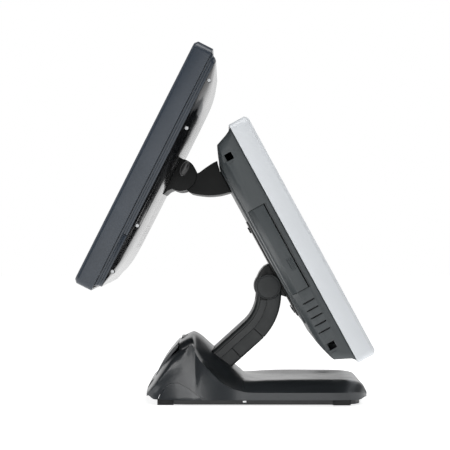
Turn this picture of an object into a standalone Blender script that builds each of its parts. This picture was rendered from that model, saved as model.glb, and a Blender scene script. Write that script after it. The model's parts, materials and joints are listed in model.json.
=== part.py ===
"""A countertop point-of-sale terminal, at rest.

An operator touchscreen (facing -Y) and a customer screen (facing +Y) share one head, which tilts on
the hinge at the top of a curved neck above a heavy base. The origin is on the counter, under the
middle of the whole object, with +Z up. Shapes are given in millimetres and built in metres.
"""

import math

import bmesh
import bpy
from mathutils import Matrix, Vector

MM = 0.001
GAP = 0.3  # clearance between neighbouring pieces
LOOSE_GAP = 0.4  # clearance round a piece that sits in an opening

# Head tilt axis, and each screen's lean from upright.
TILT_Y, TILT_Z = -49.2, 129.5
OPERATOR_LEAN = 28.6
CUSTOMER_LEAN = 26.8
CUSTOMER_TILT_Y, CUSTOMER_TILT_Z = 49.9, 255.4

# Where each tilt axis lies behind its screen's front face, and above the screen's lower front edge.
OPERATOR_AXIS_DEPTH, OPERATOR_AXIS_HEIGHT = 67.3, 111.9
CUSTOMER_AXIS_DEPTH, CUSTOMER_AXIS_HEIGHT = 47.9, 152.5

# Screens: a 304 x 228 mm panel in a bezel.
HALF_WIDTH = 180.0
WINDOW_HALF_WIDTH, WINDOW_LOW, WINDOW_HIGH = 153.5, 29.0, 259.5
BEZEL_EDGE = 3.2  # width of the front bevel
BEZEL_WALL = 3.2
BEZEL_FRONT = 3.0  # thickness in front of the glass
GLASS_HALF_WIDTH, GLASS_REAR = 159.0, 6.0
PANEL_HALF_WIDTH, PANEL_REAR = 163.0, 15.0
CHASSIS_FRONT, CHASSIS_REAR = 16.0, 18.0
BOARD_THICKNESS = 1.6
OPERATOR_BEZEL_LOW, OPERATOR_BEZEL_HIGH, OPERATOR_BEZEL_DEPTH = -1.6, 289.5, 22.2
CUSTOMER_BEZEL_LOW, CUSTOMER_BEZEL_HIGH, CUSTOMER_BEZEL_DEPTH = -2.6, 288.2, 21.4

# Power button, in the bezel's lower edge.
BUTTON_X, BUTTON_DEPTH, BUTTON_RADIUS = 130.0, 10.0, 4.5

# Operator housing: side wall, rear chamfer and raised rear panel.
HOUSING_HALF_WIDTH = 176.5
HOUSING_SIDE_DEPTH = 43.3
HOUSING_REAR_DEPTH = 52.4
HOUSING_WALL = 3.0
VENT_HEIGHTS = (46.5, 55.3, 64.2, 73.1, 82.1)
NOTCH_HEIGHTS = ((24.6, 32.6), (255.2, 263.2))
BAY_LOW, BAY_HIGH, BAY_FRONT = 95.5, 197.3, 29.1

# Neck: a straight run up from the base, then a bend to upright below the tilt axis.
NECK_HALF_WIDTH = 42.0
NECK_HALF_DEPTH = 14.0
NECK_TOP_RUN = 8.0
NECK_BEND_RADIUS = 58.0
NECK_SLOPE = math.radians(42.0)
NECK_START_Y = -49.8
NECK_REAR_END = 119.0  # how far down the rear cover runs
NECK_SEAMS = (1.0, 52.0, 85.5, 112.0)  # the front covers meet at these lengths
SHAFT_RADIUS = 5.0
CAP_RADIUS = 14.3
EAR_RADIUS = 12.0
KNUCKLE_HALF_WIDTH = 27.5
# How far below the tilt axis the neck is open for the knuckle, which swings furthest at the front.
KNUCKLE_ROOM_REAR, KNUCKLE_ROOM_FRONT = 16.0, 20.5
KNUCKLE_PLATE_ROOM = 17.0  # half height of the mount plate's side notches, beside the neck's ears
MOUNT_SCREW_HEAD = 1.2

# Base.
BASE_FLOOR = 6.3
BASE_WALL = 3.0
SIDE_PANEL_INNER_X = 93.0  # inside the wall, where it is narrowest at the top of the arch
PLATE_BOTTOM, PLATE_TOP = 1.2, 6.0
FOOT_WIDTH = 18.0

# Customer arm and bracket.
ARM_HALF_WIDTH = 80.0
BRACKET_HALF_WIDTH = 80.0
TONGUE_HALF_WIDTH, TONGUE_RADIUS = 14.0, 7.2
BARREL_RADIUS = 18.0
CUSTOMER_SHAFT_RADIUS = 3.0
CUSTOMER_COVER_REAR = 40.0


def clear_scene():
    for thing in list(bpy.data.objects):
        bpy.data.objects.remove(thing, do_unlink=True)


def material(name, color, roughness, metallic=0.0):
    made = bpy.data.materials.new(name)
    made.use_nodes = True
    shader = made.node_tree.nodes["Principled BSDF"]
    shader.inputs["Base Color"].default_value = (*color, 1.0)
    shader.inputs["Roughness"].default_value = roughness
    shader.inputs["Metallic"].default_value = metallic
    return made


# --- shapes -----------------------------------------------------------------------------------------


def loft(loops):
    """A closed solid through loops of equally many (x, y, z) points, with flat ends."""
    solid = bmesh.new()
    rings = [[solid.verts.new(Vector(point) * MM) for point in loop] for loop in loops]
    for near, far in zip(rings, rings[1:]):
        for i, corner in enumerate(near):
            j = (i + 1) % len(near)
            solid.faces.new((corner, near[j], far[j], far[i]))
    solid.faces.new(rings[0][::-1])
    solid.faces.new(rings[-1])
    bmesh.ops.recalc_face_normals(solid, faces=solid.faces)
    return solid


def prism_x(outline, low, high):
    """A (y, z) outline carried from x = low to x = high."""
    return loft([[(x, y, z) for y, z in outline] for x in (low, high)])


def prism_y(outline, low, high):
    return loft([[(x, y, z) for x, z in outline] for y in (low, high)])


def prism_z(outline, low, high):
    return loft([[(x, y, z) for x, y in outline] for z in (low, high)])


def box(x, y, z):
    return prism_x([(y[0], z[0]), (y[1], z[0]), (y[1], z[1]), (y[0], z[1])], *x)


def arc(centre, radius, start, end, steps):
    """Points on a circle from one angle to another, in degrees, both ends included."""
    angles = [math.radians(start + (end - start) * i / steps) for i in range(steps + 1)]
    return [(centre[0] + radius * math.cos(a), centre[1] + radius * math.sin(a)) for a in angles]


def circle(centre, radius, sides=32):
    return arc(centre, radius, 0, 360 * (sides - 1) / sides, sides - 1)


def rounded_rectangle(half_width, low, high, radius, steps=3):
    corners = []
    for turn, (x, z) in enumerate(((1, 1), (-1, 1), (-1, -1), (1, -1))):
        centre = (x * (half_width - radius), high - radius if z > 0 else low + radius)
        corners += arc(centre, radius, 90 * turn, 90 * turn + 90, steps)
    return corners


def stacked_rectangles(levels, steps=3):
    """A solid through rounded rectangles: each level is (depth, half width, low, high, radius)."""
    return loft(
        [
            [(x, depth, z) for x, z in rounded_rectangle(half_width, low, high, radius, steps)]
            for depth, half_width, low, high, radius in levels
        ]
    )


# --- placing pieces -----------------------------------------------------------------------------------


class Frame:
    """Where a group of pieces is built: an empty on a joint's axis, and the offset of their own origin."""

    def __init__(self, empty=None, offset=(0.0, 0.0, 0.0)):
        self.empty = empty
        self.offset = Vector(offset) * MM


def make_empty(name, matrix, parent=None):
    empty = bpy.data.objects.new(name, None)
    bpy.context.collection.objects.link(empty)
    empty.empty_display_size = 0.02
    empty.parent = parent
    empty.matrix_local = parent.matrix_world.inverted() @ matrix if parent else matrix
    bpy.context.view_layer.update()
    return empty


def part(name, solid, frame, look):
    mesh = bpy.data.meshes.new(name)
    solid.to_mesh(mesh)
    solid.free()
    mesh.materials.append(look)
    mesh.shade_smooth()
    mesh.set_sharp_from_angle(angle=math.radians(35))
    made = bpy.data.objects.new(name, mesh)
    bpy.context.collection.objects.link(made)
    made.parent = frame.empty
    made.location = frame.offset
    return made


def combine(target, solid, frame, operation, solver="EXACT"):
    name = f"{operation.lower()}_{target.name}_{len(target.modifiers)}"
    helper = part(name, solid, frame, LOOKS["dark"])
    helper.hide_render = True
    helper.display_type = "WIRE"
    modifier = target.modifiers.new(operation.title(), "BOOLEAN")
    modifier.operation = operation
    modifier.solver = solver
    modifier.object = helper


def cut(target, solid, frame, solver="EXACT"):
    combine(target, solid, frame, "DIFFERENCE", solver)


def fuse(target, solid, frame):
    combine(target, solid, frame, "UNION")


# --- screens ------------------------------------------------------------------------------------------


def make_screen(prefix, frame, low, high, depth, bezel_look):
    """Bezel, glass and panel of one screen, in (x, depth behind the front, height) coordinates."""
    bezel = part(
        f"{prefix}_bezel",
        stacked_rectangles(
            [
                (0, HALF_WIDTH - BEZEL_EDGE, low + BEZEL_EDGE, high - BEZEL_EDGE, 6),
                (BEZEL_EDGE, HALF_WIDTH, low, high, 8),
                (depth, HALF_WIDTH, low, high, 8),
            ]
        ),
        frame,
        bezel_look,
    )
    cavity = (HALF_WIDTH - BEZEL_WALL, low + BEZEL_WALL, high - BEZEL_WALL, 5)
    cut(bezel, stacked_rectangles([(BEZEL_FRONT, *cavity), (depth + 5, *cavity)]), frame)
    window = (WINDOW_HALF_WIDTH, WINDOW_LOW, WINDOW_HIGH, 2)
    cut(bezel, stacked_rectangles([(-5, *window), (5, *window)]), frame)
    glass = (GLASS_HALF_WIDTH, WINDOW_LOW - 5, WINDOW_HIGH + 5, 2)
    glass_levels = [(BEZEL_FRONT + GAP, *glass), (GLASS_REAR, *glass)]
    part(f"{prefix}_glass", stacked_rectangles(glass_levels, 1), frame, LOOKS["screen"])
    panel = (PANEL_HALF_WIDTH, WINDOW_LOW - 11, WINDOW_HIGH + 11, 2)
    panel_levels = [(GLASS_REAR + GAP, *panel), (PANEL_REAR, *panel)]
    part(f"{prefix}_lcd_panel", stacked_rectangles(panel_levels, 1), frame, LOOKS["steel"])
    return bezel


def make_operator_screen(face):
    low, high = OPERATOR_BEZEL_LOW, OPERATOR_BEZEL_HIGH
    bezel = make_screen("operator", face, low, high, OPERATOR_BEZEL_DEPTH, LOOKS["silver"])
    hole = circle((BUTTON_X, BUTTON_DEPTH), BUTTON_RADIUS + GAP, 24)
    cut(bezel, prism_z(hole, low - 5, low + 4), face)
    chassis = (HALF_WIDTH - 4, low + 4, high - 4, 4)
    chassis_levels = [(CHASSIS_FRONT, *chassis), (CHASSIS_REAR, *chassis)]
    part("operator_chassis", stacked_rectangles(chassis_levels, 1), face, LOOKS["alloy"])
    board_depth = (24, 24 + BOARD_THICKNESS)
    part("main_board", box((-120, 150), board_depth, (60, 235)), face, LOOKS["board"])
    heat_sink = part("heat_sink", box((0, 90), (25.6 + GAP, 29), (120, 210)), face, LOOKS["alloy"])
    for fin in range(8):
        height = 122 + 11.5 * fin
        fuse(heat_sink, box((1, 89), (28, 41), (height, height + 3)), face)


def make_rear_housing(face):
    side, rear = HOUSING_HALF_WIDTH, HOUSING_REAR_DEPTH
    housing = part(
        "rear_housing",
        stacked_rectangles(
            [
                (OPERATOR_BEZEL_DEPTH + GAP, side, 2.0, 286.0, 6),
                (25.7, side, 5.3, 283.6, 8),
                (HOUSING_SIDE_DEPTH, side, 13.4, 276.6, 12),
                (46.5, 171, 22, 268, 14),
                (50.3, 161, 36, 260, 18),
                (50.4, 140, 60, 254, 20),
                (rear, 137, 63, 251, 20),
            ]
        ),
        face,
        LOOKS["housing"],
    )
    inner = side - HOUSING_WALL
    cavity = [
        (20, inner, 9, 281, 5),
        (27, inner, 9.5, 280, 6),
        (42, inner, 17, 273, 9),
        (46.5, 160, 38, 257, 14),
        (49, 134, 64, 250, 17),
    ]
    cut(housing, stacked_rectangles(cavity), face)
    for x in (-side, side):
        for height in VENT_HEIGHTS:
            cut(housing, box((x - 6, x + 6), (30.5, 43.9), (height - 0.8, height + 0.8)), face)
        for low, high in NOTCH_HEIGHTS:
            reach = sorted((x * 1.05, x - math.copysign(1.8, x)))
            cut(housing, box(reach, (34.8, 47.1), (low, high)), face)
    bay = [(-side - 5, BAY_FRONT), (-163.7, BAY_FRONT), (-163.7, 60), (-side - 5, 60)]
    cut(housing, prism_z(bay, BAY_LOW, BAY_HIGH), face)
    cut(housing, box((-70, 70), (29, 40), (0, 22)), face)
    flush = [(29.4, 7.4), (39.6, 12.1), (39.6, 16), (29.4, 11.3)]
    panel = part("io_panel", prism_x(flush, -69.6, 69.6), face, LOOKS["steel"])
    for x, half in ((-55, 7), (-30, 9), (-5, 9), (20, 9), (48, 12)):
        cut(panel, box((x - half, x + half), (32, 37), (5, 11)), face)


def make_drive_tray(face, tray):
    side = HOUSING_HALF_WIDTH - LOOSE_GAP
    low, high, front = BAY_LOW + LOOSE_GAP, BAY_HIGH - LOOSE_GAP, BAY_FRONT + LOOSE_GAP
    outer = [(-side, front), (-side, HOUSING_SIDE_DEPTH), (-164.2, 48.6)]
    inner = [(-164.2, 45.6), (-172.3, 41.6), (-172.3, front)]
    frame = Frame(tray, face.offset / MM)
    part("drive_door", prism_z(outer + inner, low, high), frame, LOOKS["housing"])
    sled = part("drive_sled", box((-172, -64), (30.5, 41.3), (108.5, 184.5)), frame, LOOKS["alloy"])
    cut(sled, box((-169.5, -66), (32.5, 50), (111, 182)), frame)
    drive = box((-168.5, -68.5), (32.8, 39.8), (111.6, 181.4))
    part("solid_state_drive", drive, frame, LOOKS["dark"])


def make_power_button(button):
    outline = circle((0, 0), BUTTON_RADIUS, 24)
    part("power_button", prism_z(outline, -1.2, 2.4), Frame(button), LOOKS["dark"])


# --- head hinge ---------------------------------------------------------------------------------------


def make_head_hinge(face, axis, neck_top):
    rear = HOUSING_REAR_DEPTH + GAP
    plate = part("mount_plate", box((-41.5, 41.5), (rear, rear + 1.5), (67, 188)), face, LOOKS["arm"])
    for side in (-1, 1):
        low, high = OPERATOR_AXIS_HEIGHT - KNUCKLE_PLATE_ROOM, OPERATOR_AXIS_HEIGHT + KNUCKLE_PLATE_ROOM
        reach = sorted((KNUCKLE_HALF_WIDTH * side, 50 * side))
        cut(plate, box(reach, (rear - 5, rear + 5), (low, high)), face)
    knuckle = [(-12.8, -21), (-12.8, 22), (-3, 22), (3, 20)]
    knuckle += arc((0, 0), 16, 60, -115, 14)
    block = prism_x(knuckle, -KNUCKLE_HALF_WIDTH, KNUCKLE_HALF_WIDTH)
    bracket = part("head_hinge_bracket", block, axis, LOOKS["arm"])
    cut(bracket, prism_x(circle((0, 0), SHAFT_RADIUS + GAP), -60, 60), axis)
    for number, (x, z) in enumerate(((-34, 66), (34, 66), (-34, -37), (34, -37)), 1):
        head = prism_y(circle((x, z), 3.6, 16), -12.8, -12.8 + MOUNT_SCREW_HEAD)
        part(f"mount_screw_{number}", head, axis, LOOKS["arm"])
    part("tilt_shaft", prism_x(circle((0, 0), SHAFT_RADIUS), -41.5, 41.5), neck_top, LOOKS["steel"])
    for side, inner in (("left", -28.1), ("right", 28.1)):
        reach = sorted((inner, inner + math.copysign(1.4, inner)))
        disc = prism_x(circle((0, 0), 11), *reach)
        washer = part(f"friction_washer_{side}", disc, neck_top, LOOKS["steel"])
        cut(washer, prism_x(circle((0, 0), SHAFT_RADIUS + GAP), -60, 60), neck_top)


# --- neck ---------------------------------------------------------------------------------------------


def neck_point(length, offset):
    """A (y, z) point of the neck: length down from the tilt axis, offset to the rear of its middle line."""
    bend_length = NECK_BEND_RADIUS * (math.pi / 2 - NECK_SLOPE)
    turn = min(max(length - NECK_TOP_RUN, 0.0), bend_length) / NECK_BEND_RADIUS
    straight = min(length, NECK_TOP_RUN)
    beyond = max(length - NECK_TOP_RUN - bend_length, 0.0)
    y = NECK_START_Y + NECK_BEND_RADIUS * (1 - math.cos(turn)) + beyond * math.sin(turn)
    z = TILT_Z - straight - NECK_BEND_RADIUS * math.sin(turn) - beyond * math.cos(turn)
    return (y + offset * math.cos(turn), z + offset * math.sin(turn))


def neck_strip(front, rear, start, end, steps=18):
    """Outline of the stretch of neck between two lengths and two offsets."""
    lengths = [start + (end - start) * i / steps for i in range(steps + 1)]
    outline = [neck_point(length, rear) for length in lengths]
    return outline + [neck_point(length, front) for length in reversed(lengths)]


def make_neck(base):
    half, core, axis = NECK_HALF_WIDTH, NECK_HALF_WIDTH - 4, (TILT_Y, TILT_Z)
    frame = part("neck_frame", prism_x(neck_strip(-11.2, 9.0, 23, 150), -core, core), base, LOOKS["neck"])
    ear = neck_strip(-11.2, 9.0, 8, 26, 3) + arc(axis, EAR_RADIUS, 180, 0, 12)
    for side in (-1, 1):
        fuse(frame, prism_x(ear, *sorted((30 * side, core * side))), base)
        fuse(frame, prism_x(circle(axis, EAR_RADIUS), *sorted((31 * side, (half - 0.4) * side))), base)
        rail = neck_strip(1.8, 9.0, 16, 118)
        fuse(frame, prism_x(rail, *sorted(((core - 1) * side, half * side))), base)
    fuse(frame, box((-36, 36), (8, 46), (8.2, 32)), base)
    cut(frame, prism_x(circle(axis, SHAFT_RADIUS + GAP), -60, 60), base)
    ear_room = circle(axis, EAR_RADIUS + LOOSE_GAP)
    knuckle_room = KNUCKLE_HALF_WIDTH + 2.5
    top, knuckle_x = TILT_Z + 20, (-knuckle_room, knuckle_room)
    rear = prism_x(neck_strip(9.5, NECK_HALF_DEPTH, NECK_SEAMS[0], NECK_REAR_END), -half, half)
    rear_cover = part("neck_rear_cover", rear, base, LOOKS["neck"])
    cut(rear_cover, prism_x(ear_room, -60, 60), base)
    cut(rear_cover, box(knuckle_x, (-90, 0), (TILT_Z - KNUCKLE_ROOM_REAR, top)), base)
    for name, start, end in zip(("upper", "middle", "lower"), NECK_SEAMS, NECK_SEAMS[1:]):
        outline = neck_strip(-NECK_HALF_DEPTH, 1.5, start + 0.2, end - 0.2, 6)
        cover = part(f"neck_front_cover_{name}", prism_x(outline, -half, half), base, LOOKS["neck"])
        cut(cover, prism_x(neck_strip(-11.5, 6, start - 5, end + 5, 9), -core - GAP, core + GAP), base)
        if name == "upper":
            cut(cover, prism_x(ear_room, -60, 60), base)
            cut(cover, box(knuckle_x, (-90, 0), (TILT_Z - KNUCKLE_ROOM_FRONT, top)), base)
    for side, inner in (("left", -half - GAP), ("right", half + GAP)):
        reach = sorted((inner, inner + math.copysign(4.0, inner)))
        part(f"hinge_cap_{side}", prism_x(circle(axis, CAP_RADIUS, 40), *reach), base, LOOKS["neck"])


# --- base ---------------------------------------------------------------------------------------------

# Each station of the cover, rear to front: y, centre height, spine height, shoulder height, then the
# side edge's x and height, and the half width at the bottom.
BASE_SPINE_X = 50.0
BASE_STATIONS = (
    (87.0, 17, 16.5, 16, 92, 13, 90),
    (82.5, 25, 24, 22, 97, 18, 96),
    (77.0, 33, 32, 30, 97, 24, 100),
    (70.0, 46, 45, 41, 92, 33, 104),
    (62.0, 57, 55, 50, 86, 43, 106),
    (53.6, 66.7, 64, 58, 80, 51, 108),
    (45.0, 73, 69.5, 63, 75, 59, 109),
    (37.0, 77, 72, 66.5, 70, 65, 110),
    (33.0, 76.5, 65, 60, 76, 56, 110),
    (27.0, 73, 61, 52, 85, 47.5, 110.5),
    (16.6, 64, 54, 41, 95, 37, 111),
    (5.5, 54, 46.5, 32, 103, 26.5, 111.5),
    (-5.5, 44, 39, 26, 108, 19.8, 112),
    (-16.5, 35, 31.5, 24.5, 110.5, 16.4, 112),
    (-28.0, 27, 26, 25, 112, 14.8, 112),
    (-60.0, 24, 24.5, 27, 112, 14.5, 112),
    (-110.0, 24, 24.5, 27, 112, 14.5, 112),
    (-132.0, 25, 25.5, 26.5, 110, 14.5, 110),
    (-146.0, 25, 25, 25, 105, 14.5, 104),
    (-153.0, 22.5, 22.5, 22, 98, 13.5, 97),
    (-157.5, 15.5, 15.5, 14.5, 88, 11, 88),
)
DISH_CREST_X = 88.0
# The arched side panel's (y, z) outline, rear to front.
SIDE_ARCH = (
    (73, 6.5), (72.9, 9.4), (68.5, 16), (63, 21.6), (55.3, 24.4),
    (49.7, 23.3), (38.7, 17.2), (27.6, 9.4), (22, 6.5),
)


def base_section(station, inset=0.0):
    """One (x, y, z) cross-section of the base cover, or of its hollow."""
    y, centre, spine, shoulder, edge_x, edge_z, bottom_x = station
    middle_x = min((BASE_SPINE_X + edge_x) / 2 if y > -20 else DISH_CREST_X, edge_x)
    floor = BASE_FLOOR if inset == 0 else BASE_FLOOR - 5
    half = [
        (bottom_x - inset, floor),
        ((bottom_x + edge_x) / 2 - inset, (BASE_FLOOR + edge_z) / 2),
        (edge_x - inset, edge_z - inset),
        (middle_x - inset, shoulder - inset),
        (BASE_SPINE_X - inset, spine - inset),
        (BASE_SPINE_X / 2, (spine + 3 * centre) / 4 - inset),
    ]
    points = half + [(0.0, centre - inset)] + [(-x, z) for x, z in reversed(half)]
    return [(x, y, z) for x, z in points]


def base_shell():
    return loft([base_section(station) for station in BASE_STATIONS])


def make_base(base):
    cover = part("base_cover", base_shell(), base, LOOKS["base"])
    hollow = loft([base_section(station, BASE_WALL) for station in BASE_STATIONS[2:-2]])
    neck_hole = prism_x(neck_strip(-14.6, 14.6, 70, 170), -42.6, 42.6)
    rear_opening = box((-66.4, 66.4), (52.1, 100), (5, 68))
    tab_hole = box((-22.5, 22.5), (42.8, 49.9), (66, 80))
    for hole in (hollow, neck_hole, rear_opening, tab_hole):
        cut(cover, hole, base, "MANIFOLD")
    for name, side in (("left", -1), ("right", 1)):
        blank = prism_x(SIDE_ARCH, *sorted((SIDE_PANEL_INNER_X * side, 120 * side)))
        panel = part(f"side_panel_{name}", blank, base, LOOKS["base"])
        combine(panel, base_shell(), base, "INTERSECT", "MANIFOLD")
        opening = [(y + math.copysign(LOOSE_GAP, y - 50), z + LOOSE_GAP) for y, z in SIDE_ARCH[1:-1]]
        opening = [(73.4, 0)] + opening + [(21, 6.9), (21, 0)]
        cut(cover, prism_x(opening, *sorted((85 * side, 130 * side))), base, "MANIFOLD")
    tab = part("cover_release_tab", box((-22, 22), (43.2, 49.5), (69, 71.5)), base, LOOKS["base"])
    for ridge in range(3):
        y = 44.2 + 1.9 * ridge
        fuse(tab, box((-19, 19), (y, y + 0.9), (71, 73)), base)
    part("ballast_plate", box((-60, 60), (-112, -22), (8.2, 17)), base, LOOKS["steel"])
    part("status_light", box((-113, -112.3), (-23.5, -19.6), (4.0, 5.8)), base, LOOKS["silver"])


def make_cable_cover(slide):
    outer = [(52.5, 67.2), (62, 56.5), (70, 45.5), (77, 32.5), (78, 28.5)]
    outer += [(82.3, 25), (87, 16.5), (86, 10), (77, 6.6)]
    inner = [(74, 6.6), (83, 11.5), (83.6, 16), (79, 23), (74.5, 28)]
    inner += [(73.6, 32), (66.5, 44.6), (59, 54.5), (52.5, 62.5)]
    part("rear_cable_cover", prism_x(outer + inner, -66, 66), Frame(slide), LOOKS["base"])


def make_base_plate(base):
    front = arc((81, -122), 28, 0, -90, 5)
    rear = [(99, 74), (104, 62), (107.5, 45)]  # inside the cover, which narrows to the rear
    half = rear + front
    outline = half + [(-x, y) for x, y in reversed(half)]
    plate = part("base_plate", prism_z(outline, PLATE_BOTTOM, PLATE_TOP), base, LOOKS["dark"])
    feet = (("rear", 57.0, 75.0, 80.5), ("front", -139.0, -119.5, 86.0))
    for end, low_y, high_y, inner_x in feet:
        for name, side in (("left", -1), ("right", 1)):
            reach = sorted((inner_x * side, (inner_x + FOOT_WIDTH) * side))
            foot = box(reach, (low_y, high_y), (0, PLATE_TOP - 0.2))
            part(f"foot_{end}_{name}", foot, base, LOOKS["rubber"])
            hole = sorted(((inner_x - LOOSE_GAP) * side, (inner_x + 30) * side))
            cut(plate, box(hole, (low_y - LOOSE_GAP, high_y + LOOSE_GAP), (-1, 10)), base)


# --- customer arm and screen --------------------------------------------------------------------------


def make_customer_arm(arm):
    axis = (CUSTOMER_TILT_Y, CUSTOMER_TILT_Z)
    top = [(27.9, 259.2), (22.7, 262.7), (14.0, 268.5), (8.6, 271.2), (8.1, 268.2), (5.4, 259.2)]
    bottom = [(-6.9, 236.6), (5.6, 233.5), (18.3, 232.5), (30, 233.6), (38.3, 235.3)]
    outline = top + bottom + arc(axis, BARREL_RADIUS + LOOSE_GAP, 256, 175, 8)
    body = prism_x(outline, -ARM_HALF_WIDTH, ARM_HALF_WIDTH)
    cover = part("customer_arm_cover", body, arm, LOOKS["arm"])
    slot = [(52, 257.5), (36, 256.9), (-10, 250.8), (-10, 243), (36, 247), (52, 240)]
    reach = TONGUE_HALF_WIDTH + LOOSE_GAP
    cut(cover, prism_x(slot, -reach, reach), arm)
    core = arc(axis, TONGUE_RADIUS, -95, 95, 10)
    core += [(36, 256.4), (3.0, 251.8), (-1.3, 244.4), (36, 247.6)]
    strip = prism_x(core, -TONGUE_HALF_WIDTH, TONGUE_HALF_WIDTH)
    tongue = part("customer_arm_core", strip, arm, LOOKS["steel"])
    cut(tongue, prism_x(circle(axis, CUSTOMER_SHAFT_RADIUS + GAP, 16), -60, 60), arm)


def make_customer_screen(face):
    low, high = CUSTOMER_BEZEL_LOW, CUSTOMER_BEZEL_HIGH
    make_screen("customer", face, low, high, CUSTOMER_BEZEL_DEPTH, LOOKS["slate"])
    front = (CUSTOMER_BEZEL_DEPTH + GAP, 176.5, 3.2, 284.3, 6)
    band = stacked_rectangles([front, (24, 176.5, 4.3, 283, 6), (29.1, 174.5, 6, 279, 8)])
    frame = part("customer_mid_frame", band, face, LOOKS["slate"])
    cut(frame, stacked_rectangles([(10, 171, 10, 275, 4), (40, 171, 10, 275, 4)], 1), face)
    cover = part(
        "customer_back_cover",
        stacked_rectangles(
            [
                (29.4, 173.5, 6.2, 278.7, 8),
                (32.1, 169, 17, 270.7, 12),
                (35.8, 158, 27.8, 259, 18),
                (38.6, 138, 42.8, 245, 24),
                (CUSTOMER_COVER_REAR, 104, 69.5, 228, 30),
            ]
        ),
        face,
        LOOKS["gloss"],
    )
    hollow = [(25, 169, 11, 274, 5), (31, 165, 21, 267, 9), (35, 146, 38, 248, 16), (37, 98, 74, 223, 24)]
    cut(cover, stacked_rectangles(hollow), face)
    board_depth = (30, 30 + BOARD_THICKNESS)
    part("customer_board", box((-90, 90), board_depth, (90, 200)), face, LOOKS["board"])
    screws = ((33.7, 81.9, 161.5), (33.7, 199.6, 161.5), (32.1, 25.7, 163.5), (32.1, 256.3, 163.5))
    for name, side in (("left", 1), ("right", -1)):
        for number, (depth, height, x) in enumerate(screws, 1):
            hole = prism_x(circle((depth, height), 2.3, 12), *sorted((150 * side, 190 * side)))
            cut(cover, hole, face)
            pin = prism_x(circle((depth, height), 1.9, 12), *sorted((x * side, (x + 5) * side)))
            part(f"side_screw_{name}_{number}", pin, face, LOOKS["steel"])


def make_customer_bracket(axis):
    half = BRACKET_HALF_WIDTH
    flat = CUSTOMER_AXIS_DEPTH - CUSTOMER_COVER_REAR - GAP
    outline = [(-flat, 17.4), (-flat, -28), (-6, -27.4), (-4.2, -22)]
    outline += arc((0, 0), BARREL_RADIUS, -94, 108, 18)
    bracket = part("customer_bracket", prism_x(outline, -half, half), axis, LOOKS["arm"])
    slot = TONGUE_HALF_WIDTH + LOOSE_GAP
    room = [(0, -25), (25, -25), (25, 25), (0, 25)] + arc((0, 0), TONGUE_RADIUS + 1.1, 90, 270, 12)
    cut(bracket, prism_x(room, -slot, slot), axis)
    hole = circle((0, 0), CUSTOMER_SHAFT_RADIUS + GAP, 16)
    cut(bracket, prism_x(hole, -60, 60), axis, "MANIFOLD")
    shaft = circle((0, 0), CUSTOMER_SHAFT_RADIUS, 16)
    part("customer_tilt_shaft", prism_x(shaft, -59, 59), axis, LOOKS["steel"])
    for name, inner in (("left", half + GAP), ("right", -half - GAP)):
        reach = sorted((inner, inner + math.copysign(2.0, inner)))
        disc = prism_x(circle((0.5, 8.5), 8.0, 24), *reach)
        part(f"customer_hinge_cap_{name}", disc, axis, LOOKS["gloss"])


# --- the whole object -----------------------------------------------------------------------------------

clear_scene()

LOOKS = {
    "silver": material("silver_plastic", (0.66, 0.69, 0.71), 0.38),
    "screen": material("screen_glass", (0.01, 0.01, 0.012), 0.12),
    "housing": material("housing_plastic", (0.068, 0.076, 0.080), 0.45),
    "slate": material("slate_plastic", (0.060, 0.072, 0.088), 0.42),
    "gloss": material("gloss_black_plastic", (0.008, 0.008, 0.009), 0.12),
    "neck": material("neck_plastic", (0.027, 0.031, 0.032), 0.40),
    "arm": material("arm_plastic", (0.010, 0.011, 0.011), 0.40),
    "base": material("base_plastic", (0.068, 0.076, 0.082), 0.36),
    "dark": material("dark_plastic", (0.012, 0.012, 0.012), 0.55),
    "rubber": material("rubber", (0.015, 0.015, 0.016), 0.8),
    "steel": material("steel", (0.55, 0.56, 0.57), 0.35, 1.0),
    "alloy": material("alloy", (0.62, 0.63, 0.64), 0.40, 1.0),
    "board": material("circuit_board", (0.01, 0.09, 0.04), 0.5),
}

head_axis = Matrix.Translation(Vector((0, TILT_Y, TILT_Z)) * MM)
head_axis @= Matrix.Rotation(math.radians(-OPERATOR_LEAN), 4, "X")
customer_axis = Matrix.Translation(Vector((0, CUSTOMER_TILT_Y, CUSTOMER_TILT_Z)) * MM)
customer_axis @= Matrix.Rotation(math.pi, 4, "Z") @ Matrix.Rotation(math.radians(-CUSTOMER_LEAN), 4, "X")

head_empty = make_empty("head_tilt_axis", head_axis)
customer_empty = make_empty("customer_tilt_axis", customer_axis, head_empty)
arm_place = Matrix.Translation(Vector((0, TILT_Y, TILT_Z)) * MM)
arm_empty = make_empty("customer_arm_frame", arm_place, head_empty)
tray_empty = make_empty("drive_tray_slide", head_axis, head_empty)
button_depth, button_height = BUTTON_DEPTH - OPERATOR_AXIS_DEPTH, OPERATOR_BEZEL_LOW - OPERATOR_AXIS_HEIGHT
button_place = Matrix.Translation(Vector((BUTTON_X, button_depth, button_height)) * MM)
button_empty = make_empty("power_button_press", head_axis @ button_place, head_empty)
cable_cover_empty = make_empty("cable_cover_slide", Matrix.Identity(4))

counter = Frame()
neck_top = Frame(None, (0, TILT_Y, TILT_Z))
operator_face = Frame(head_empty, (0, -OPERATOR_AXIS_DEPTH, -OPERATOR_AXIS_HEIGHT))
customer_face = Frame(customer_empty, (0, -CUSTOMER_AXIS_DEPTH, -CUSTOMER_AXIS_HEIGHT))

make_base(counter)
make_base_plate(counter)
make_cable_cover(cable_cover_empty)
make_neck(counter)
make_head_hinge(operator_face, Frame(head_empty), neck_top)
make_operator_screen(operator_face)
make_rear_housing(operator_face)
make_drive_tray(operator_face, tray_empty)
make_power_button(button_empty)
make_customer_arm(Frame(arm_empty, (0, -TILT_Y, -TILT_Z)))
make_customer_screen(customer_face)
make_customer_bracket(Frame(customer_empty))
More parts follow.
